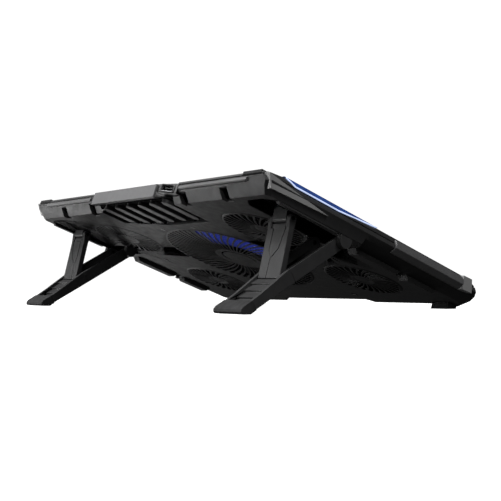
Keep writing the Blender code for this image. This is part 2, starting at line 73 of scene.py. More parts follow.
# Lengths are in metres. In the pad's own frame x runs across, y to the rear and z out of the top.
LEG_X = 0.1665
LEG_HINGE = (-0.084, -0.0035)  # y and z
STRUT_HINGE = (-0.036, -0.0035)  # y and z
LEG_SWING = math.radians(48.5)
STRUT_SWING = math.radians(96.3)
LEG_HALF_WIDTH = 0.0173
SOFT_EDGE = 0.0003
BOLD_EDGE = 0.0004
FINE_GRAIN = 0.00004
SATIN_GRAIN = 0.00003


# ---------------------------------------------------------------- frames of reference
def joint_place(name):
    joint = JOINTS[name]
    return Vector(joint["pos_m"]), Vector(joint["axis"]).normalized()


HINGE_WORLD, _ = joint_place("leg_left_fold")
_, PAD_UP = joint_place("main_fan_spin")
TILT = math.atan2(-PAD_UP.y, PAD_UP.z)
HINGE_IN_PAD = Vector((LEG_X, *LEG_HINGE))
PAD = (
    Matrix.Translation(HINGE_WORLD)
    @ Matrix.Rotation(TILT, 4, "X")
    @ Matrix.Translation(-HINGE_IN_PAD)
)


def hinge_frame(side, hinge, swing):
    return PAD @ Matrix.Translation((side * LEG_X, *hinge)) @ Matrix.Rotation(-swing, 4, "X")


def leg_frame(side):
    return hinge_frame(side, LEG_HINGE, LEG_SWING)


def strut_frame(side):
    return hinge_frame(side, STRUT_HINGE, STRUT_SWING)


# ---------------------------------------------------------------- materials
def node_material(name):
    made = bpy.data.materials.new(name)
    made.use_nodes = True
    tree = made.node_tree
    return made, tree, tree.nodes["Principled BSDF"]


def add(tree, kind, **settings):
    node = tree.nodes.new(kind)
    for key, value in settings.items():
        if key in node.inputs:
            node.inputs[key].default_value = value
        else:
            setattr(node, key, value)
    return node


def noise(tree, scale, detail=3.0, stretch=(1, 1, 1), rough=0.55):
    coords = add(tree, "ShaderNodeTexCoord")
    mapping = add(tree, "ShaderNodeMapping")
    mapping.inputs["Scale"].default_value = stretch
    tree.links.new(coords.outputs["Object"], mapping.inputs["Vector"])
    made = add(tree, "ShaderNodeTexNoise", Scale=scale, Detail=detail, Roughness=rough)
    tree.links.new(mapping.outputs["Vector"], made.inputs["Vector"])
    return made.outputs["Fac"]


def ramp(tree, source, stops):
    made = add(tree, "ShaderNodeValToRGB")
    elements = made.color_ramp.elements
    while len(elements) < len(stops):
        elements.new(0.5)
    for element, (at, colour) in zip(elements, stops):
        element.position = at
        element.color = (*colour, 1.0)
    tree.links.new(source, made.inputs["Fac"])
    return made.outputs["Color"]


def spread(tree, source, low, high, new_low, new_high):
    made = add(tree, "ShaderNodeMapRange")
    for key, value in (("From Min", low), ("From Max", high), ("To Min", new_low), ("To Max", new_high)):
        made.inputs[key].default_value = value
    tree.links.new(source, made.inputs["Value"])
    return made.outputs["Result"]


def bump(tree, shader, source, depth, strength=0.5, before=None):
    made = add(tree, "ShaderNodeBump")
    made.inputs["Strength"].default_value = strength
    made.inputs["Distance"].default_value = depth
    tree.links.new(source, made.inputs["Height"])
    if before is not None:
        tree.links.new(before, made.inputs["Normal"])
    tree.links.new(made.outputs["Normal"], shader.inputs["Normal"])
    return made.outputs["Normal"]


def moulded(name, dark, light, rough, grain=0.00006, scale=2600.0, specular=0.35):
    """Moulded plastic with a fine spark-eroded grain, faint clouding and rubbed patches."""
    made, tree, shader = node_material(name)
    cloud = noise(tree, 55.0, 4.0)
    base = ramp(tree, cloud, [(0.30, dark), (0.72, light)])
    worn = add(tree, "ShaderNodeNewGeometry").outputs["Pointiness"]
    edge = spread(tree, worn, 0.515, 0.60, 0.0, 0.35)
    mix = add(tree, "ShaderNodeMix", data_type="RGBA")
    tree.links.new(edge, mix.inputs["Factor"])
    tree.links.new(base, mix.inputs["A"])
    mix.inputs["B"].default_value = (*[min(1.0, c * 1.9) for c in light], 1.0)
    tree.links.new(mix.outputs["Result"], shader.inputs["Base Color"])
    patches = spread(tree, noise(tree, 140.0, 5.0), 0.3, 0.7, rough - 0.06, rough + 0.08)
    tree.links.new(patches, shader.inputs["Roughness"])
    fine = noise(tree, scale, 2.0)
    first = bump(tree, shader, fine, grain, 0.6)
    bump(tree, shader, noise(tree, 420.0, 2.0), grain * 1.2, 0.25, first)
    shader.inputs["Specular IOR Level"].default_value = specular
    return made


def perforated(name):
    """Dark lacquered steel sheet with a faint rolled direction."""
    made, tree, shader = node_material(name)
    rolled = noise(tree, 260.0, 4.0, (1.0, 0.08, 0.08))
    base = ramp(tree, rolled, [(0.3, (0.016, 0.016, 0.017)), (0.7, (0.034, 0.034, 0.036))])
    tree.links.new(base, shader.inputs["Base Color"])
    tree.links.new(spread(tree, rolled, 0.3, 0.7, 0.34, 0.50), shader.inputs["Roughness"])
    bump(tree, shader, noise(tree, 1800.0, 2.0), 0.00004, 0.4)
    shader.inputs["Metallic"].default_value = 0.55
    return made


def rubber(name):
    made, tree, shader = node_material(name)
    base = ramp(tree, noise(tree, 90.0, 5.0), [(0.3, (0.010, 0.010, 0.010)), (0.75, (0.024, 0.024, 0.025))])
    tree.links.new(base, shader.inputs["Base Color"])
    tree.links.new(spread(tree, noise(tree, 300.0), 0.3, 0.7, 0.72, 0.92), shader.inputs["Roughness"])
    bump(tree, shader, noise(tree, 1500.0, 3.0), 0.00008, 0.5)
    shader.inputs["Specular IOR Level"].default_value = 0.25
    return made


def steel(name, dark, light):
    made, tree, shader = node_material(name)
    brushed = noise(tree, 900.0, 3.0, (0.05, 1.0, 1.0))
    tree.links.new(ramp(tree, brushed, [(0.3, dark), (0.7, light)]), shader.inputs["Base Color"])
    tree.links.new(spread(tree, brushed, 0.3, 0.7, 0.24, 0.42), shader.inputs["Roughness"])
    bump(tree, shader, brushed, 0.00003, 0.4)
    shader.inputs["Metallic"].default_value = 1.0
    return made


def board(name):
    """Solder-masked circuit board with faint copper tracks."""
    made, tree, shader = node_material(name)
    tracks = add(tree, "ShaderNodeTexVoronoi", Scale=420.0)
    tracks.distance = "MANHATTAN"
    coords = add(tree, "ShaderNodeTexCoord")
    tree.links.new(coords.outputs["Object"], tracks.inputs["Vector"])
    mask_green, copper_green = (0.006, 0.050, 0.022), (0.012, 0.110, 0.045)
    base = ramp(tree, tracks.outputs["Distance"], [(0.25, mask_green), (0.45, copper_green)])
    tree.links.new(base, shader.inputs["Base Color"])
    bump(tree, shader, tracks.outputs["Distance"], 0.00004, 0.4)
    shader.inputs["Roughness"].default_value = 0.32
    return made


def lens(name, colour, deep, glow, strength, spots, reach):
    """Tinted light guide, brightest near its light sources, with a fine frosted face."""
    made, tree, shader = node_material(name)
    geometry = add(tree, "ShaderNodeNewGeometry")
    total = None
    for spot in spots:
        apart = add(tree, "ShaderNodeVectorMath", operation="DISTANCE")
        tree.links.new(geometry.outputs["Position"], apart.inputs[0])
        apart.inputs[1].default_value = spot
        near = spread(tree, apart.outputs["Value"], 0.0, reach, 1.0, 0.0)
        if total is None:
            total = near
        else:
            most = add(tree, "ShaderNodeMath", operation="MAXIMUM")
            tree.links.new(total, most.inputs[0])
            tree.links.new(near, most.inputs[1])
            total = most.outputs["Value"]
    tree.links.new(ramp(tree, total, [(0.0, deep), (1.0, colour)]), shader.inputs["Base Color"])
    frost = noise(tree, 700.0, 3.0)
    levels = ((0.0, 0.25), (0.55, 0.6), (1.0, 1.0))
    shine = ramp(tree, total, [(at, tuple(c * level for c in glow)) for at, level in levels])
    tree.links.new(shine, shader.inputs["Emission Color"])
    shader.inputs["Emission Strength"].default_value = strength
    tree.links.new(spread(tree, frost, 0.3, 0.7, 0.16, 0.30), shader.inputs["Roughness"])
    bump(tree, shader, frost, 0.00005, 0.3)
    return made


CASE = moulded("case_plastic_grain", (0.0185, 0.0185, 0.0190), (0.0265, 0.0265, 0.0270), 0.52)
LEG = moulded("leg_plastic_grain", (0.0150, 0.0150, 0.0155), (0.0220, 0.0220, 0.0225), 0.48)
# Pale trim plastic: its light tone is painted light on the flank's corner facets and a painted highlight on
# the hook under the module.
PAINTED_LIGHT_TRIM = moulded("trim_plastic_painted_light", (0.150, 0.150, 0.150), (0.190, 0.190, 0.190), 0.38, FINE_GRAIN)
# The rim band's pale tone is painted light, standing in for the light that the rear-and-up facing chamfer
# catches.
PAINTED_LIGHT_BAND = moulded("rim_band_painted_light", (0.062, 0.062, 0.063), (0.080, 0.080, 0.081), 0.44, FINE_GRAIN)
MODULE = moulded("module_plastic_grain", (0.072, 0.072, 0.074), (0.092, 0.092, 0.094), 0.40, FINE_GRAIN)
SLAT = moulded("slat_plastic_grain", (0.030, 0.030, 0.031), (0.042, 0.042, 0.043), 0.46, FINE_GRAIN)
# Extra-dark matt black is painted shade, laid in the leg pockets and behind the vent slats where shade
# falls.
PAINTED_SHADE_BLACK = moulded(
    "cavity_painted_shade_black",
    (0.0030, 0.0030, 0.0032),
    (0.0055, 0.0055, 0.0058),
    0.85,
    0.00005,
    scale=1800.0,
    specular=0.04,
)
BLACK = moulded(
    "black_plastic_satin", (0.0060, 0.0060, 0.0065), (0.0100, 0.0100, 0.0105), 0.34, SATIN_GRAIN
)
# Fan plastic is black, darkened further as painted shade so that the gaps of the grilles read dark.
FAN_PAINTED_SHADE = moulded(
    "fan_plastic_painted_shade", (0.0050, 0.0050, 0.0056), (0.0085, 0.0085, 0.0092), 0.38, SATIN_GRAIN, specular=0.2
)
GRILLE = moulded("grille_plastic_grain", (0.0150, 0.0150, 0.0155), (0.0230, 0.0230, 0.0235), 0.50)
SHEET = perforated("perforated_sheet")
RUBBER = rubber("soft_rubber")
STEEL = steel("brushed_steel", (0.30, 0.30, 0.31), (0.50, 0.50, 0.51))
DARK_STEEL = steel("blackened_steel", (0.012, 0.012, 0.013), (0.030, 0.030, 0.031))
BOARD = board("green_board")
FINISH = {
    "case": CASE,
    "module": MODULE,
    "black_plastic": BLACK,
    "fan_plastic": FAN_PAINTED_SHADE,
    "perforated_metal": SHEET,
    "rubber": RUBBER,
    "steel": STEEL,
    "circuit_board": BOARD,
}


# ---------------------------------------------------------------- mesh helpers
def shaded(obj, angle=32):
    """Smooth shading in which a large flat face stays flat beside its softened edge."""
    obj.data.shade_smooth()
    obj.data.set_sharp_from_angle(angle=math.radians(angle))
    weighted = obj.modifiers.new("Flat faces", "WEIGHTED_NORMAL")
    weighted.mode = "FACE_AREA"
    weighted.weight = 90
    weighted.keep_sharp = True
    made = bpy.data.meshes.new_from_object(obj.evaluated_get(bpy.context.evaluated_depsgraph_get()))
    obj.modifiers.clear()
    old, obj.data = obj.data, made
    name = old.name
    bpy.data.meshes.remove(old)
    made.name = name


def piece(name, solid, material, body, place=None, replaced=(), angle=32):
    """A finished piece from a bmesh, put in place and bound to its body."""
    if place is not None:
        bmesh.ops.transform(solid, matrix=place, verts=solid.verts)
    mesh = bpy.data.meshes.new(name)
    solid.to_mesh(mesh)
    solid.free()
    made = bpy.data.objects.new(name, mesh)
    SCENE.collection.objects.link(made)
    mesh.materials.append(material)
    shaded(made, angle)
    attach(made, body)
    if replaced:
        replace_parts(made, *replaced)


def loft(rings, caps=True):
    """A skin over closed rings of equal length, shut at both ends unless caps is False."""
    solid = bmesh.new()
    loops = [[solid.verts.new(point) for point in ring] for ring in rings]
    for low, high in zip(loops, loops[1:]):
        for i in range(len(low)):
            j = (i + 1) % len(low)
            solid.faces.new((low[i], low[j], high[j], high[i]))
    if caps:
        solid.faces.new(list(reversed(loops[0])))
        solid.faces.new(loops[-1])
    bmesh.ops.recalc_face_normals(solid, faces=solid.faces)
    return solid


def prism_z(outline, low, high):
    return loft([[(x, y, z) for x, y in outline] for z in (low, high)])


def box(x, y, z):
    return prism_z([(x[0], y[0]), (x[1], y[0]), (x[1], y[1]), (x[0], y[1])], *z)


def moved(solid, matrix):
    bmesh.ops.transform(solid, matrix=matrix, verts=solid.verts)
    return solid


def circle(centre, radius, count, start=0.0, stop=math.tau):
    full = math.isclose(stop - start, math.tau)
    steps = count if full else count - 1
    turns = [start + (stop - start) * i / steps for i in range(count)]
    return [(centre[0] + radius * math.cos(t), centre[1] + radius * math.sin(t)) for t in turns]


def joined(solids):
    whole = bmesh.new()
    for solid in solids:
        mesh = bpy.data.meshes.new("piece")
        solid.to_mesh(mesh)
        whole.from_mesh(mesh)
        solid.free()
        bpy.data.meshes.remove(mesh)
    return whole


def mirrored(solid):
    bmesh.ops.scale(solid, vec=(-1, 1, 1), verts=solid.verts)
    bmesh.ops.reverse_faces(solid, faces=solid.faces)
    return solid


def on_side(solid, side):
    return solid if side > 0 else mirrored(solid)


def softened(solid, width, angle=28, segments=2):
    """Rounds the sharp edges that have room for it."""
    sharp = math.radians(angle)
    chosen = []
    for edge in solid.edges:
        if len(edge.link_faces) != 2 or edge.calc_face_angle(0.0) < sharp:
            continue
        nearby = [e for v in edge.verts for e in v.link_edges]
        if min(e.calc_length() for e in nearby) > 1.3 * width:
            chosen.append(edge)
    bmesh.ops.bevel(
        solid,
        geom=chosen,
        offset=width,
        offset_type="OFFSET",
        segments=segments,
        profile=0.5,
        affect="EDGES",
        clamp_overlap=False,
    )
    return solid


def cleaned(solid, merge):
    """Merges close points and makes each flat face one face."""
    bmesh.ops.remove_doubles(solid, verts=solid.verts, dist=merge)
    bmesh.ops.dissolve_limit(
        solid,
        angle_limit=math.radians(0.6),
        verts=solid.verts,
        edges=solid.edges,
        use_dissolve_boundaries=False,
    )
    return solid


def cad_solid(node):
    """The CAD node's mesh with its flat faces made whole again."""
    solid = bmesh.new()
    solid.from_mesh(frame["nodes"][node].data)
    return cleaned(solid, 1e-6)


def carved(solid, cutters, place=None):
    """solid with the cutters taken away, as one clean mesh."""
    mesh = bpy.data.meshes.new("target")
    solid.to_mesh(mesh)
    solid.free()
    target = bpy.data.objects.new("target", mesh)
    SCENE.collection.objects.link(target)
    helpers = []
    for cutter in cutters:
        if place is not None:
            bmesh.ops.transform(cutter, matrix=place, verts=cutter.verts)
        other = bpy.data.meshes.new("cutter")
        cutter.to_mesh(other)
        cutter.free()
        helper = bpy.data.objects.new("cutter", other)
        SCENE.collection.objects.link(helper)
        helpers.append(helper)
        step = target.modifiers.new("Cut", "BOOLEAN")
        step.operation = "DIFFERENCE"
        step.object = helper
    graph = bpy.context.evaluated_depsgraph_get()
    result = bmesh.new()
    result.from_mesh(target.evaluated_get(graph).to_mesh())
    target.evaluated_get(graph).to_mesh_clear()
    for helper in [target, *helpers]:
        data = helper.data
        bpy.data.objects.remove(helper)
        bpy.data.meshes.remove(data)
    return cleaned(result, 1e-7)


def refined(node, material=None):
    """The CAD node with softened edges and its detailed finish."""
    slot = NODE_SLOT[node]
    solid = softened(cad_solid(node), SOFT_EDGE)
    piece(f"{node}_shape", solid, material or FINISH[slot], BODY_OF[node], None, (node,))


# ---------------------------------------------------------------- camera, light, floor
LENS_MM = 73.95
CAMERA_PLACE = (-0.7884, 0.5684, 0.0242)
CAMERA_YAW = math.radians(-36.68)
CAMERA_PITCH = math.radians(1.72)
FLOOR_REACH = 8.8
DOME_RADIUS = 9.0
REAR_WALL = (0.0, 0.08, 0.07)
UNDERSIDE = (0.0, -0.02, 0.05)
LIGHTS = {  # name: place, target, size and power in watts
    "key": ((0.95, 0.85, 0.62), REAR_WALL, (0.6, 0.4), 2.2),
    "top": ((0.35, 0.75, 1.05), REAR_WALL, (0.4, 0.3), 26.0),
    "rear_low": ((0.62, 0.50, -0.05), UNDERSIDE, (0.25, 0.12), 2.1),
    "under": ((0.60, -0.04, -0.28), (0.0, 0.0, 0.05), (0.25, 0.15), 0.36),
    "side": ((-1.0, 0.05, 0.75), (-0.17, 0.0, 0.03), (0.4, 0.3), 5.0),
    "camera_side": ((-0.95, 0.85, 0.45), (-0.15, 0.05, 0.05), (0.5, 0.4), 3.4),
}


def set_camera():
    data = bpy.data.cameras.new("camera")
    data.lens = LENS_MM
    data.sensor_width = 36.0
    data.clip_start = 0.01
    data.clip_end = 60.0
    camera = bpy.data.objects.new("camera", data)
    SCENE.collection.objects.link(camera)
    camera.location = CAMERA_PLACE
    level = math.cos(CAMERA_PITCH)
    forward = Vector((math.cos(CAMERA_YAW) * level, math.sin(CAMERA_YAW) * level, math.sin(CAMERA_PITCH)))
    camera.rotation_euler = forward.to_track_quat("-Z", "Y").to_euler()
    SCENE.camera = camera


def area_light(name, place, target, size, power):
    data = bpy.data.lights.new(name, "AREA")
    data.shape = "RECTANGLE"
    data.size, data.size_y = size
    data.energy = power
    light = bpy.data.objects.new(name, data)
    SCENE.collection.objects.link(light)
    light.location = place
    light.rotation_euler = (Vector(target) - Vector(place)).to_track_quat("-Z", "Y").to_euler()
    light.visible_camera = False


def plain(name, colour, glow, far_glow):
    """Plain glowing white for the stage, which may glow a little less round the object."""
    made, tree, shader = node_material(name)
    place = add(tree, "ShaderNodeNewGeometry")
    apart = add(tree, "ShaderNodeVectorMath", operation="LENGTH")
    tree.links.new(place.outputs["Position"], apart.inputs[0])
    strength = spread(tree, apart.outputs["Value"], 0.35, 1.1, glow, far_glow)
    tree.links.new(strength, shader.inputs["Emission Strength"])
    shader.inputs["Base Color"].default_value = (*colour, 1.0)
    shader.inputs["Roughness"].default_value = 0.9
    shader.inputs["Specular IOR Level"].default_value = 0.1
    shader.inputs["Emission Color"].default_value = (1, 1, 1, 1)
    return made


def studio():
    SCENE.view_settings.view_transform = "Standard"
    world = bpy.data.worlds.new("studio")
    world.use_nodes = True
    world.node_tree.nodes["Background"].inputs["Color"].default_value = (1, 1, 1, 1)
    world.node_tree.nodes["Background"].inputs["Strength"].default_value = 0.03
    SCENE.world = world
    floor_mesh = bpy.data.meshes.new("floor")
    r = FLOOR_REACH
    floor_mesh.from_pydata([(-r, -r, 0), (r, -r, 0), (r, r, 0), (-r, r, 0)], [], [(0, 1, 2, 3)])
    floor_mesh.materials.append(plain("floor_white", (0.5, 0.5, 0.5), 1.0, 1.05))
    floor = bpy.data.objects.new("floor", floor_mesh)
    SCENE.collection.objects.link(floor)
    floor.location.z = -0.0002
    dome = bmesh.new()
    bmesh.ops.create_uvsphere(dome, u_segments=48, v_segments=24, radius=DOME_RADIUS)
    dome_mesh = bpy.data.meshes.new("backdrop")
    dome.to_mesh(dome_mesh)
    dome.free()
    dome_mesh.materials.append(plain("backdrop_white", (0.0, 0.0, 0.0), 1.05, 1.05))
    backdrop = bpy.data.objects.new("backdrop", dome_mesh)
    SCENE.collection.objects.link(backdrop)
    for stage_piece in (floor, backdrop):
        stage_piece.visible_diffuse = False
        stage_piece.visible_glossy = False
        stage_piece.visible_transmission = False
        stage_piece.visible_shadow = False
    for name, settings in LIGHTS.items():
        area_light(name, *settings)


# ---------------------------------------------------------------- casing
def hexagon_sheet():
    """Perforated top sheet: a full field of small hexagonal holes in a plain border."""
    half_x, back, front = 0.1617, -0.0243, -0.1997
    low, high = 0.0163, 0.0178
    pitch, hole, border = 0.0046, 0.0019, 0.0050
    rise = pitch * math.sqrt(3) / 2
    sheet = bmesh.new()
    corners = {}

    def corner(x, y):
        key = (round(x * 1e5), round(y * 1e5))
        for near in ((a, b) for a in (-1, 0, 1) for b in (-1, 0, 1)):
            found = corners.get((key[0] + near[0], key[1] + near[1]))
            if found is not None:
                return found
        corners[key] = sheet.verts.new((x, y, 0.0))
        return corners[key]

    outer = pitch / math.sqrt(3)
    rows = int((back - front - 2 * border - 2 * outer) / rise)
    top = (back + front) / 2 + rows * rise / 2
    for row in range(rows + 1):
        y = top - row * rise
        shift = pitch / 2 if row % 2 else 0.0
        count = int((half_x - border - pitch / 2 - shift) / pitch)
        columns = range(-count - (1 if row % 2 else 0), count + 1)
        for column in columns:
            x = column * pitch + shift
            rim, mouth = [], []
            for i in range(6):
                turn = math.radians(30 + 60 * i)
                rim.append(corner(x + outer * math.cos(turn), y + outer * math.sin(turn)))
                mouth.append(sheet.verts.new((x + hole * math.cos(turn), y + hole * math.sin(turn), 0.0)))
            for i in range(6):
                j = (i + 1) % 6
                sheet.faces.new((rim[i], rim[j], mouth[j], mouth[i]))
    rim_corners = set(corners.values())
    open_edges = [e for e in sheet.edges if len(e.link_faces) == 1 and rim_corners.issuperset(e.verts)]
    outline = ((-half_x, front, 0), (half_x, front, 0), (half_x, back, 0), (-half_x, back, 0))
    frame_corners = [sheet.verts.new(point) for point in outline]
    open_edges += [sheet.edges.new((frame_corners[i], frame_corners[(i + 1) % 4])) for i in range(4)]
    bmesh.ops.triangle_fill(sheet, use_beauty=True, use_dissolve=False, edges=open_edges, normal=(0, 0, 1))
    bmesh.ops.recalc_face_normals(sheet, faces=sheet.faces)
    if sum(f.normal.z for f in sheet.faces) < 0:
        bmesh.ops.reverse_faces(sheet, faces=sheet.faces)
    faces = list(sheet.faces)
    bmesh.ops.translate(sheet, vec=(0, 0, high), verts=sheet.verts)
    grown = bmesh.ops.extrude_face_region(sheet, geom=faces, use_keep_orig=True)
    under = [v for v in grown["geom"] if isinstance(v, bmesh.types.BMVert)]
    bmesh.ops.translate(sheet, vec=(0, 0, low - high), verts=under)
    bmesh.ops.recalc_face_normals(sheet, faces=sheet.faces)
    piece("top_panel_honeycomb", sheet, SHEET, "root", PAD, ("top_panel",), 25)


# ---------------------------------------------------------------- fans
FANS = {  # place: centre, radius, the grille's hub radius and slots, the rotor's hub radius and blades
    "main": ((0.0, -0.120), 0.0730, 0.0210, 60, 0.0190, 11),
    "rear_left": ((0.1105, -0.060), 0.0360, 0.0085, 30, 0.0100, 7),
    "rear_right": ((-0.1105, -0.060), 0.0360, 0.0085, 30, 0.0100, 7),
    "front_left": ((0.112, -0.178), 0.0360, 0.0085, 30, 0.0100, 7),
    "front_right": ((-0.112, -0.178), 0.0360, 0.0085, 30, 0.0100, 7),
}
ROTOR_INSET = 0.0015


def grille(place, centre, radius, hub, count):
    """Round grille of fine swirled ribs, drawn as a polar sheet and given thickness."""
    inner, outer = hub + 0.0030, radius - 0.0032
    steps = 9
    radii = [hub * 0.5, hub * 0.82, hub, inner]
    radii += [inner + (outer - inner) * (i + 1) / steps for i in range(steps)]
    radii += [outer + 0.0012, radius - 0.0010, radius]
    first, last = 3, 3 + steps
    swirl, swirl_power = 0.16, 1.4
    inner_point, outer_point = 0.31, 0.29  # how far a slot's ends run out to a point, in slot pitches
    sheet = bmesh.new()
    rings = []
    columns = count * 4
    shares = (0.0, 0.35, 0.70, 0.85)  # the slot is the first two of these four columns
    for index, r in enumerate(radii):
        ring = []
        bend = swirl * min(1.0, max(0.0, (r - inner) / (outer - inner))) ** swirl_power
        for k in range(columns):
            slot, part = divmod(k, 4)
            turn = math.tau * (slot + shares[part]) / count + bend
            reach = r
            if part == 1 and index == first:
                reach -= inner_point * math.tau * inner / count
            if part == 1 and index == last:
                reach += outer_point * math.tau * outer / count
            x, y = centre[0] + reach * math.cos(turn), centre[1] + reach * math.sin(turn)
            ring.append(sheet.verts.new((x, y, 0)))
        rings.append(ring)
    for index, (near, far) in enumerate(zip(rings, rings[1:])):
        for k in range(columns):
            if first <= index < last and k % 4 in (0, 1):
                continue
            j = (k + 1) % columns
            sheet.faces.new((near[k], near[j], far[j], far[k]))
    sheet.faces.new(rings[0])
    bmesh.ops.recalc_face_normals(sheet, faces=sheet.faces)
    if sum(f.normal.z for f in sheet.faces) < 0:
        bmesh.ops.reverse_faces(sheet, faces=sheet.faces)
    faces = list(sheet.faces)
    top, rim_top, low = 0.0007, 0.0019, -0.0005
    hub_dish, rim_step = 0.0006, 0.0005
    bmesh.ops.translate(sheet, vec=(0, 0, top), verts=sheet.verts)
    grown = bmesh.ops.extrude_face_region(sheet, geom=faces, use_keep_orig=True)
    under = [v for v in grown["geom"] if isinstance(v, bmesh.types.BMVert)]
    bmesh.ops.translate(sheet, vec=(0, 0, low - top), verts=under)
    for vert in under:
        away = math.hypot(vert.co.x - centre[0], vert.co.y - centre[1])
        if hub * 0.6 < away < hub * 0.9:
            vert.co.z += hub_dish
        if away > radius - 0.0005:
            vert.co.z += rim_step
    for vert in set(sheet.verts) - set(under):
        if math.hypot(vert.co.x - centre[0], vert.co.y - centre[1]) > outer + 0.0010:
            vert.co.z = rim_top
    bmesh.ops.recalc_face_normals(sheet, faces=sheet.faces)
    node = f"{place}_fan_grille"
    piece(f"{node}_ribs", sheet, GRILLE, BODY_OF[node], PAD, (node,), 30)


def rotor(place, centre, radius, hub, blades):
    """Hub cup with a rounded shoulder and cambered, swept blades."""
    profile = [
        (hub * 0.55, 0.0052),
        (hub * 0.60, 0.0055),
        (hub * 0.86, 0.0055),
        (hub * 0.95, 0.0058),
        (hub, 0.0066),
        (hub, 0.0118),
    ]
    turns = 48
    cup = loft([[(x, y, z) for x, y in circle((0, 0), r, turns)] for r, z in profile])
    solids = [cup]
    stations, chord = 8, 7
    root, tip = hub - 0.0012, radius - 0.0036
    for b in range(blades):
        rings = []
        for s in range(stations):
            share = s / (stations - 1)
            r = root + (tip - root) * share
            lead = math.tau * b / blades + 0.62 * share**1.2
            width = (0.60 + 0.10 * math.sin(math.pi * share)) * math.tau / blades
            upper, lower = [], []
            for c in range(chord):
                t = c / (chord - 1)
                turn = lead + width * t
                fall = 0.0104 - 0.0042 * (t - 0.18 * math.sin(math.pi * t))
                thick = 0.00022 + 0.00050 * math.sin(math.pi * t) ** 0.6
                upper.append((r * math.cos(turn), r * math.sin(turn), fall + thick))
                lower.append((r * math.cos(turn), r * math.sin(turn), fall - thick))
            rings.append(upper + list(reversed(lower)))
        solids.append(loft(rings))
    node = f"{place}_fan_rotor"
    at_centre = PAD @ Matrix.Translation((*centre, 0))
    piece(f"{node}_blades", joined(solids), FAN_PAINTED_SHADE, BODY_OF[node], at_centre, (node,), 35)


def light_guide():
    """Sector of frosted light guide behind and between the main grille's ribs, lit near its outer edge."""
    (cx, cy), radius = FANS["main"][:2]
    start, stop, steps = math.radians(104), math.radians(184), 36
    inner, outer, spot_ring = radius - 0.0330, radius - 0.0034, 0.060
    low, high = -0.00005, 0.00210
    section = [(inner, low), (outer - 0.0006, low), (outer, 0.00040), (outer, high), (inner, high)]
    rings = []
    for i in range(steps + 1):
        turn = start + (stop - start) * i / steps
        rings.append([(cx + r * math.cos(turn), cy + r * math.sin(turn), z) for r, z in section])
    spots = []
    for turn in map(math.radians, (120, 138, 152, 166)):
        x, y = cx + spot_ring * math.cos(turn), cy + spot_ring * math.sin(turn)
        spots.append(PAD @ Vector((x, y, 0.0015)))
    colour, deep, shine = (0.01, 0.02, 0.20), (0.002, 0.003, 0.012), (0.020, 0.050, 0.60)
    glow = lens("fan_light_guide", colour, deep, shine, strength=0.26, spots=spots, reach=0.030)
    piece("main_fan_light_guide", loft(rings), glow, "root", PAD)


# ---------------------------------------------------------------- trims
def light_bar(name, side):
    """Translucent bar with a lit white edge along its lower side."""
    solid = softened(cad_solid(f"side_light_{name}"), BOLD_EDGE)
    spots = [PAD @ Vector((side * 0.190, y, 0.0165)) for y in (-0.022, -0.046, -0.070, -0.094)]
    colour, deep, shine = (0.02, 0.06, 0.26), (0.008, 0.022, 0.13), (0.034, 0.075, 0.24)
    glow = lens(f"light_bar_{name}_lens", colour, deep, shine, strength=0.36, spots=spots, reach=0.028)
    piece(f"side_light_{name}_lens", solid, glow, "root", None, (f"side_light_{name}",))
    path = [(-0.0110, 0.0183), (-0.0200, 0.01435), (-0.0655, 0.01435), (-0.1095, 0.0184)]
    bar_low, bar_out, bar_slope = 0.0139, 0.1936, 0.0034 / 0.0051
    half, sunk, proud, clip = 0.00055, 0.0004, 0.0005, 0.0002
    rings = []
    for y, z in path:
        x = bar_out - (z - bar_low) * bar_slope
        section = ((-sunk, -half), (proud, clip - half), (proud, half - clip), (-sunk, half))
        rings.append([(x + across, y, z + up) for across, up in section])
    edge = on_side(loft(rings), side)
    colour, deep, shine = (0.55, 0.62, 0.80), (0.4, 0.5, 0.7), (0.55, 0.66, 0.95)
    white = lens(f"light_bar_{name}_edge", colour, deep, shine, strength=0.9, spots=spots, reach=0.05)
    piece(f"side_light_{name}_edge", edge, white, "root", PAD)


def strut(name, side):
    """Prop with shallow panel lines shaped like a Y on its rear face, and a bridge below its hinge."""
    node = f"strut_{name}"
    face = 0.0025
    width, depth = 0.00045, 0.0006
    lines = [
        [(0.0058, 0.0075), (0.0063, 0.0255), (0.0028, 0.0310), (0.0040, 0.0490)],
        [(-0.0095, 0.0075), (-0.0050, 0.0245), (0.0012, 0.0305)],
    ]
    cutters = []
    for line in lines:
        for (xa, ya), (xb, yb) in zip(line, line[1:]):
            along = Vector((xb - xa, yb - ya)).normalized()
            across = Vector((-along.y, along.x)) * width
            past = along * width * 0.6
            a, b = Vector((xa, ya)) - past, Vector((xb, yb)) + past
            outline = [tuple(a - across), tuple(b - across), tuple(b + across), tuple(a + across)]
            cutters.append(on_side(prism_z(outline, face - depth, face + 0.003), -side))
    solid = carved(softened(cad_solid(node), BOLD_EDGE), cutters, strut_frame(side))
    piece(f"{node}_panel", solid, LEG, BODY_OF[node], None, (node,))
    bridge = softened(box((-0.0086, 0.0086), (0.0041, 0.0090), (-0.0022, 0.0022)), BOLD_EDGE)
    piece(f"{node}_bridge", bridge, LEG, BODY_OF[node], strut_frame(side))


def rim_band(name, side):
    """Rounded bead along the top of the rear wall, either side of the module; its pale tone is painted
    light on the chamfer that faces the rear and up.
    """
    lower = [(0.0074, 0.0089), (0.0092, 0.0090), (0.0100, 0.0098)]
    upper = [(0.0098, 0.0112), (0.0090, 0.0126), (0.0080, 0.0126)]
    rings = [[(x, y, z) for y, z in lower + upper] for x in (0.0768, 0.1000, 0.1400, 0.1700)]
    bead = softened(loft(rings), 0.0002, 60)
    piece(f"rim_band_{name}", on_side(bead, side), PAINTED_LIGHT_BAND, "root", PAD)


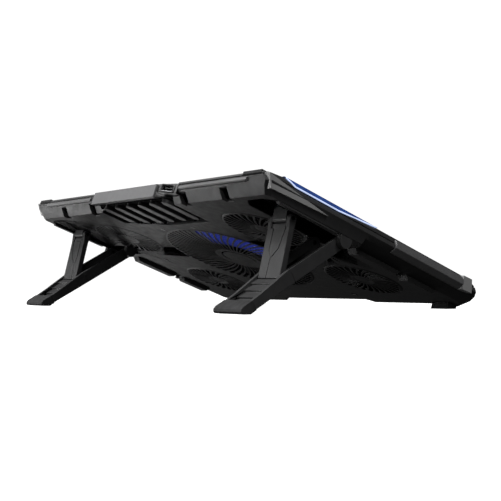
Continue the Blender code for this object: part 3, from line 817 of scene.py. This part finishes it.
def leg(name, side):
    """Leg with a fine parting line on the outside of each arm."""
    node = f"leg_{name}"
    cutters = []
    depth = 0.00035
    for x in (-LEG_HALF_WIDTH, LEG_HALF_WIDTH):
        cutters.append(box((x - depth, x + depth), (0.0556, 0.0562), (-0.02, 0.02)))
    solid = carved(softened(cad_solid(node), BOLD_EDGE), cutters, leg_frame(side))
    piece(f"{node}_arms", solid, LEG, BODY_OF[node], None, (node,))


def pocket_shade_liner(name, side):
    """Black lining of the recess that a folded leg lies in, as painted shade that keeps the pocket dark."""
    front, rear, inner, outer = -0.0997, -0.0063, 0.1492, 0.1841
    clip, low, high, thick = 0.0078, 0.0004, 0.0087, 0.0005
    outline = [(inner, front), (outer, front), (outer, rear - clip)]
    outline += [(outer - clip, rear), (inner + clip, rear), (inner, rear - clip)]
    middle = Vector(((inner + outer) / 2, (front + rear) / 2))

    def inward(value, centre, shrink):
        return value - math.copysign(shrink, value - centre)

    def ring(shrink, z):
        return [(inward(x, middle.x, shrink), inward(y, middle.y, shrink), z) for x, y in outline]

    walls = [ring(0, low), ring(0, high), ring(thick, high - thick), ring(thick, low)]
    solid = bmesh.new()
    loops = [[solid.verts.new(point) for point in loop] for loop in walls]
    for near, far in ((0, 1), (2, 3), (3, 0)):
        for i in range(len(outline)):
            j = (i + 1) % len(outline)
            solid.faces.new((loops[near][i], loops[near][j], loops[far][j], loops[far][i]))
    solid.faces.new(loops[1])
    solid.faces.new(list(reversed(loops[2])))
    bmesh.ops.recalc_face_normals(solid, faces=solid.faces)
    lug_half = 0.0090
    lug = box((LEG_X - lug_half, LEG_X + lug_half), (-0.0425, -0.0295), (0.0, 0.02))
    solid = carved(solid, [lug])
    piece(f"leg_pocket_lining_{name}", on_side(solid, side), PAINTED_SHADE_BLACK, "root", PAD)


def corner_trim(name, side):
    """Pale wedge on the flank's rear end and pale block before the front corner, whose pale tone is painted
    light on facets that the lamps catch.
    """
    outer = [(0.1957, 0.0085, 0.0140), (0.1940, 0.0018, 0.0040), (0.1951, -0.0560, 0.0056)]
    inner = [(0.1890, y, z) for _, y, z in outer]
    wedge = on_side(loft([inner, outer]), side)
    piece(f"rear_corner_wedge_{name}", wedge, PAINTED_LIGHT_TRIM, "root", PAD)
    outline = [(-0.2148, 0.0048), (-0.2270, 0.0056), (-0.2250, 0.0176), (-0.2140, 0.0172)]
    lean, lean_from = 0.25, 0.0120
    inside = [(0.1880, y, z) for y, z in outline]
    outside = [(0.1965 - lean * max(0.0, z - lean_from), y, z) for y, z in outline]
    block = on_side(softened(loft([inside, outside]), SOFT_EDGE), side)
    piece(f"front_corner_block_{name}", block, PAINTED_LIGHT_TRIM, "root", PAD)


def rounded_rectangle(width, height, radius, count=5):
    points = []
    for sx, sz, start in ((1, 1, 0), (-1, 1, 90), (-1, -1, 180), (1, -1, 270)):
        centre = (sx * (width / 2 - radius), sz * (height / 2 - radius))
        points += circle(centre, radius, count, math.radians(start), math.radians(start + 90))
    return points


def usb_socket(name, side):
    """Steel shell with rolled corners, a black tongue, a black lining that is painted shade inside the
    shell, and a raised bezel round it.
    """
    near, far = Vector((0.0540, 0.0153)), Vector((0.0735, 0.0085))  # ends of the slanted wall it sits in
    slant = math.atan2(near.y - far.y, far.x - near.x)
    middle = (near + far) / 2
    place = Matrix.Translation((middle.x, middle.y, 0.0098)) @ Matrix.Rotation(-slant, 4, "Z")
    node = f"usb_socket_{name}"
    back_wall = 0.0008

    def cup(outer, inner, back, front):
        stations = ((back, outer), (front, outer), (front, inner), (back + back_wall, inner))
        return loft([[(x, y, z) for x, z in ring] for y, ring in stations])

    outer, inner = rounded_rectangle(0.0128, 0.0050, 0.0008), rounded_rectangle(0.0120, 0.0042, 0.0005)
    shell = cup(outer, inner, -0.0074, -0.0004)
    piece(node + "_shell", on_side(moved(shell, place), side), STEEL, "root", PAD, (node,))
    # The black lining is painted shade: it darkens the inside of the steel shell.
    outer, inner = rounded_rectangle(0.0119, 0.0041, 0.0005), rounded_rectangle(0.0111, 0.0033, 0.0004)
    shade_lining = cup(outer, inner, -0.0066, -0.0012)
    piece(node + "_lining", on_side(moved(shade_lining, place), side), BLACK, "root", PAD)
    tongue = softened(box((-0.0047, 0.0047), (-0.0062, -0.0016), (0.0001, 0.0011)), 0.0002)
    piece(node + "_tongue", on_side(moved(tongue, place), side), BLACK, "root", PAD)
    bezel_rings = []
    for y, grow in ((-0.0003, 0.0009), (0.0006, 0.0009), (0.0009, 0.0005), (0.0006, 0.0), (-0.0003, 0.0)):
        shape = rounded_rectangle(0.0131 + 2 * grow, 0.0053 + 2 * grow, 0.0009 + grow)
        bezel_rings.append([(x, y, z) for x, z in shape])
    bezel_rings.append(bezel_rings[0])
    bezel = loft(bezel_rings, caps=False)
    bmesh.ops.remove_doubles(bezel, verts=bezel.verts, dist=1e-7)
    bmesh.ops.recalc_face_normals(bezel, faces=bezel.faces)
    piece(node + "_bezel", on_side(moved(bezel, place), side), MODULE, "root", PAD)


def vent():
    """Black tray with six separate round-ended slats under the module; the tray's extra-dark black is
    painted shade in the recess behind the slats.
    """
    slats, pitch, half, ends = 6, 0.0200, 0.0046, (-0.0295, 0.0005)
    tray = softened(box((-0.0617, 0.0617), (-0.0377, 0.0050), (0.0040, 0.0052)), SOFT_EDGE)
    # The tray's near-black is painted shade in the vent recess.
    piece("vent_insert_tray", tray, PAINTED_SHADE_BLACK, "root", PAD, ("vent_insert",))
    bars = []
    for i in range(slats):
        x = (i - (slats - 1) / 2) * pitch
        rings = []
        for z, shrink in ((0.0008, 0.0008), (0.0010, 0.0003), (0.0016, 0.0), (0.0041, 0.0)):
            outline = circle((x, ends[0]), half - shrink, 12, math.pi, math.tau)
            outline += circle((x, ends[1]), half - shrink, 12, 0.0, math.pi)
            rings.append([(px, py, z) for px, py in outline])
        bars.append(loft(rings))
    piece("vent_slats", joined(bars), SLAT, "root", PAD)


def cable_hook():
    """Small pale hook under the module's end that holds a folded-away lead; its pale tone is a painted
    highlight.
    """
    bends = ((0.0485, 0.0075), (0.0487, 0.0045), (0.0500, 0.0018), (0.0520, 0.0004), (0.0545, 0.0002))
    path = [Vector((x, 0.0045, z)) for x, z in bends]
    across, radius = Vector((0, 1, 0)), 0.0008
    round_it = circle((0, 0), radius, 12)
    rings = []
    for i, point in enumerate(path):
        ahead = (path[min(i + 1, len(path) - 1)] - path[max(i - 1, 0)]).normalized()
        other = ahead.cross(across)
        rings.append([point + a * across + b * other for a, b in round_it])
    piece("cable_hook", loft(rings), PAINTED_LIGHT_TRIM, "root", PAD)


def all_pieces():
    """The detailed pieces, then every node that none of them replaced."""
    for place, (centre, radius, grille_hub, slots, rotor_hub, blades) in FANS.items():
        grille(place, centre, radius, grille_hub, slots)
        rotor(place, centre, radius - ROTOR_INSET, rotor_hub, blades)
    light_guide()
    hexagon_sheet()
    for name, side in SIDES.items():
        light_bar(name, side)
        strut(name, side)
        leg(name, side)
        pocket_shade_liner(name, side)
        corner_trim(name, side)
        rim_band(name, side)
        usb_socket(name, side)
    vent()
    cable_hook()
    handled = {n for o in bpy.data.objects for n in o.get("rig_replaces", [])}
    for node in frame["nodes"]:
        if node in handled:
            continue
        if NODE_SLOT[node] == "steel":
            refined(node, DARK_STEEL)
        elif "end_cap" in node:
            refined(node, BLACK)
        else:
            refined(node)


set_camera()
studio()
all_pieces()
